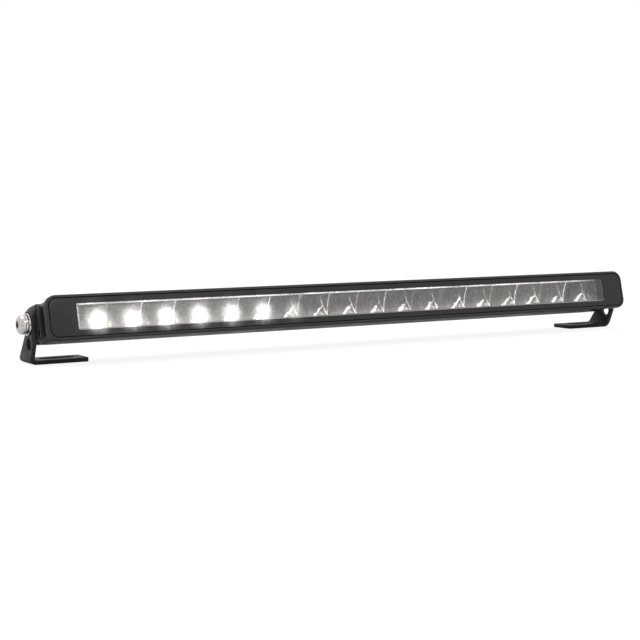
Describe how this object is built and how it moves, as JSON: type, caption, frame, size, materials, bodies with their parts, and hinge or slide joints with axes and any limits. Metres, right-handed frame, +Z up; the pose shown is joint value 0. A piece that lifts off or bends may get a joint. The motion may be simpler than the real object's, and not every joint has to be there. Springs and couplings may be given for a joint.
{
  "type": "led light bar",
  "caption": "Slim single-row LED light bar with a clear front lens and a finned housing that tilts between two slotted mounting brackets.",
  "frame": {"origin": "middle of the whole part, on the plane of the undersides of the two feet", "axes": "+X along the bar, towards the end with the cable gland; the lamp shines towards -Y; +Z up, away from the surface that the feet stand on"},
  "size_m": [0.5508, 0.0496, 0.0502],
  "materials": {
    "black_paint": "satin black powder coat on cast aluminium",
    "bracket_paint": "satin black powder coat on steel",
    "black_anodised": "black anodised, satin",
    "border_ink": "gloss black border",
    "clear_lens": "clear polycarbonate, gloss",
    "mirror_coat": "vacuum metallised mirror",
    "rubber": "matte black rubber",
    "white_board": "white solder mask on an aluminium core",
    "green_board": "green solder mask",
    "ferrite": "matte dark ferrite",
    "blue_sleeve": "blue sleeve",
    "emitter": "clear dome over a pale phosphor",
    "stainless": "polished stainless steel",
    "zinc_plate": "zinc plated steel",
    "black_nylon": "matte black nylon"
  },
  "bodies": {
    "left_mount": {"left_bracket": "bracket_paint"},
    "lamp": {"front_frame": "black_paint", "left_end_cap": "black_paint", "right_end_cap": "black_paint", "heat_sink": "black_anodised", "lens_border": "border_ink", "front_lens": "clear_lens", "reflector_1": "mirror_coat", "reflector_2": "mirror_coat", "reflector_3": "mirror_coat", "lens_gasket": "rubber", "body_gasket": "rubber", "left_cap_gasket": "rubber", "right_cap_gasket": "rubber", "led_board": "white_board", "driver_board": "green_board", "driver_coil": "ferrite", "driver_capacitor": "blue_sleeve", "led_01": "emitter", "led_02": "emitter", "led_03": "emitter", "led_04": "emitter", "led_05": "emitter", "led_06": "emitter", "led_07": "emitter", "led_08": "emitter", "led_09": "emitter", "led_10": "emitter", "led_11": "emitter", "led_12": "emitter", "led_13": "emitter", "led_14": "emitter", "led_15": "emitter", "led_16": "emitter", "led_17": "emitter", "led_18": "emitter", "left_flat_washer": "stainless", "left_spring_washer": "stainless", "left_pivot_screw": "stainless", "right_flat_washer": "stainless", "right_spring_washer": "stainless", "right_pivot_screw": "stainless", "left_cap_screw_1": "zinc_plate", "left_cap_screw_2": "zinc_plate", "left_cap_screw_3": "zinc_plate", "left_cap_screw_4": "zinc_plate", "right_cap_screw_1": "zinc_plate", "right_cap_screw_2": "zinc_plate", "right_cap_screw_3": "zinc_plate", "right_cap_screw_4": "zinc_plate", "cable_gland": "black_nylon", "gland_nut": "black_nylon", "breather_vent": "black_nylon"},
    "right_mount": {"right_bracket": "bracket_paint"}
  },
  "joints": [
    {"name": "lamp_tilt", "type": "hinge", "parent": "left_mount", "child": "lamp", "pos_m": [-0.2659, 0.00333, 0.0289], "axis": [-1, 0, 0], "range_deg": [-44, 76]},
    {"name": "right_pivot", "type": "hinge", "parent": "lamp", "child": "right_mount", "pos_m": [0.2659, 0.00333, 0.0289], "axis": [-1, 0, 0], "range_deg": [-76, 44]}
  ],
  "couplings": [
    {"joint": "right_pivot", "follows": "lamp_tilt", "ratio": -1}
  ]
}
